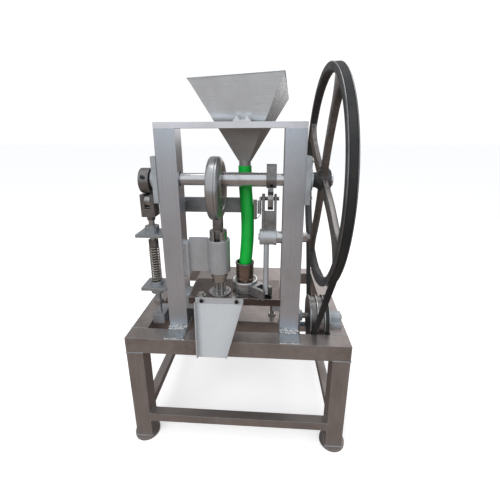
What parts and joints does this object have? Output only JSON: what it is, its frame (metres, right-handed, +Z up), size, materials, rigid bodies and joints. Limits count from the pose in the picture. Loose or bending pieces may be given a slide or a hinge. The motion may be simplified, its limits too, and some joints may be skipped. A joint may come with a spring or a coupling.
{
  "type": "tablet press",
  "caption": "Hand-built single-station tablet press: an eccentric shaft in a welded portal drives a ram, a die lifter and a swinging feed shoe under a hopper.",
  "frame": {"origin": "on the floor at the middle of the machine's footprint", "axes": "+Z up, +X along the shaft towards the flywheel, and the front with the chute faces -Y"},
  "size_m": [0.6149, 0.6464, 0.9989],
  "materials": {
    "table_steel": "satin, worn",
    "column_steel": "satin, brushed along the tube",
    "plate_silver": "bright, light sheen",
    "polished_steel": "turned and polished",
    "machined_steel": "machined, oily and dark",
    "spring_steel": "oiled wire",
    "cast_iron": "rough casting with turned edges",
    "bearing_grey": "light grey enamel",
    "stainless_sheet": "rolled sheet, satin",
    "shoe_casting": "smooth grey casting",
    "zinc_fastener": "zinc plated",
    "black_belt": "matte, dusty",
    "green_hose": "smooth, slightly glossy",
    "motor_blue_grey": "hammered enamel"
  },
  "bodies": {
    "root": {"bearing_bolts": "zinc_fastener", "chute": "stainless_sheet", "column_end_plates": "column_steel", "column_left": "column_steel", "column_right": "column_steel", "die": "polished_steel", "drive_belts": "black_belt", "feed_hose": "green_hose", "foot_discs": "table_steel", "guide_arm": "machined_steel", "hopper": "stainless_sheet", "hopper_bracket": "plate_silver", "jack_bearings": "bearing_grey", "motor_body": "motor_blue_grey", "plate_brackets": "column_steel", "plate_screws": "zinc_fastener", "press_plate": "polished_steel", "rail_end_caps": "table_steel", "ram_guide": "machined_steel", "rear_bar": "machined_steel", "rocker_stud": "polished_steel", "rod_guides": "machined_steel", "shaft_bearings": "bearing_grey", "table_inner_rails": "table_steel", "table_legs": "table_steel", "table_long_rails": "table_steel", "table_plate": "table_steel", "table_side_rails": "table_steel", "table_stretchers": "table_steel", "top_bar": "plate_silver"},
    "camshaft": {"main_shaft": "polished_steel", "eccentric_sheave": "machined_steel", "shaft_sleeves": "polished_steel", "feed_cam": "machined_steel", "lift_cam": "machined_steel", "flywheel_rim": "cast_iron", "flywheel_arms": "cast_iron", "flywheel_hub": "cast_iron"},
    "eccentric_ring_body": {"eccentric_ring": "machined_steel"},
    "ram_body": {"eccentric_strap": "machined_steel", "gudgeon_pin": "polished_steel", "ram": "polished_steel", "upper_punches": "polished_steel"},
    "cam_spacer": {"cam_spacer_ring": "machined_steel"},
    "lifter": {"lift_fork": "machined_steel", "lift_rod": "polished_steel", "rod_collars": "machined_steel", "lift_spring": "spring_steel", "lift_yoke": "machined_steel", "lower_punches": "polished_steel"},
    "lift_roller_body": {"lift_roller": "machined_steel"},
    "fill_nut_body": {"fill_nut": "machined_steel"},
    "feed_lever": {"lever_fork": "machined_steel", "feed_rod_arm": "machined_steel"},
    "feed_roller": {"feed_roller_bearing": "machined_steel"},
    "feed_shoe_body": {"feed_shoe": "shoe_casting", "feed_pipe": "polished_steel"},
    "jackshaft": {"step_pulley": "cast_iron"},
    "motor_rotor_body": {"motor_rotor": "motor_blue_grey"}
  },
  "joints": [
    {"name": "camshaft_spin", "type": "hinge", "parent": "root", "child": "camshaft", "pos_m": [0, -0.07325, 0.749], "axis": [1, 0, 0], "continuous": true},
    {"name": "eccentric_turn", "type": "hinge", "parent": "camshaft", "child": "eccentric_ring_body", "pos_m": [-0.049, -0.07325, 0.741], "axis": [1, 0, 0], "continuous": true},
    {"name": "ram_follow", "type": "hinge", "parent": "eccentric_ring_body", "child": "ram_body", "pos_m": [-0.049, -0.07325, 0.733], "axis": [1, 0, 0], "continuous": true},
    {"name": "spacer_turn", "type": "hinge", "parent": "camshaft", "child": "cam_spacer", "pos_m": [-0.207, -0.07325, 0.747], "axis": [1, 0, 0], "continuous": true},
    {"name": "lifter_follow", "type": "hinge", "parent": "cam_spacer", "child": "lifter", "pos_m": [-0.222, -0.07325, 0.745], "axis": [1, 0, 0], "continuous": true, "deforming": ["lift_spring"]},
    {"name": "lift_roller_spin", "type": "hinge", "parent": "lifter", "child": "lift_roller_body", "pos_m": [-0.222, -0.07325, 0.6957], "axis": [1, 0, 0], "continuous": true},
    {"name": "fill_nut_turn", "type": "hinge", "parent": "lifter", "child": "fill_nut_body", "pos_m": [-0.222, -0.07325, 0.409], "axis": [0, 0, 1], "range_deg": [-180, 180]},
    {"name": "feed_lever_swing", "type": "hinge", "parent": "root", "child": "feed_lever", "pos_m": [0.08, -0.07325, 0.603], "axis": [-1, 0, 0], "range_deg": [-14.5, 0]},
    {"name": "feed_roller_spin", "type": "hinge", "parent": "feed_lever", "child": "feed_roller", "pos_m": [0.084, -0.03226, 0.69421], "axis": [1, 0, 0], "continuous": true},
    {"name": "feed_shoe_swing", "type": "hinge", "parent": "root", "child": "feed_shoe_body", "pos_m": [0.0175, -0.05325, 0.45], "axis": [0, 0, 1], "range_deg": [0, 31.45]},
    {"name": "jackshaft_spin", "type": "hinge", "parent": "root", "child": "jackshaft", "pos_m": [0.21, -0.04125, 0.356], "axis": [1, 0, 0], "continuous": true},
    {"name": "motor_spin", "type": "hinge", "parent": "root", "child": "motor_rotor_body", "pos_m": [0.2, 0.10075, 0.228], "axis": [1, 0, 0], "continuous": true}
  ],
  "couplings": [
    {"joint": "eccentric_turn", "follows": "camshaft_spin", "ratio": -2},
    {"joint": "ram_follow", "follows": "camshaft_spin", "ratio": 1},
    {"joint": "spacer_turn", "follows": "camshaft_spin", "ratio": -2},
    {"joint": "lifter_follow", "follows": "camshaft_spin", "ratio": 1},
    {"joint": "feed_shoe_swing", "follows": "feed_lever_swing", "ratio": -2.166},
    {"joint": "jackshaft_spin", "follows": "camshaft_spin", "ratio": 4.2927},
    {"joint": "motor_spin", "follows": "camshaft_spin", "ratio": 7.9641}
  ]
}
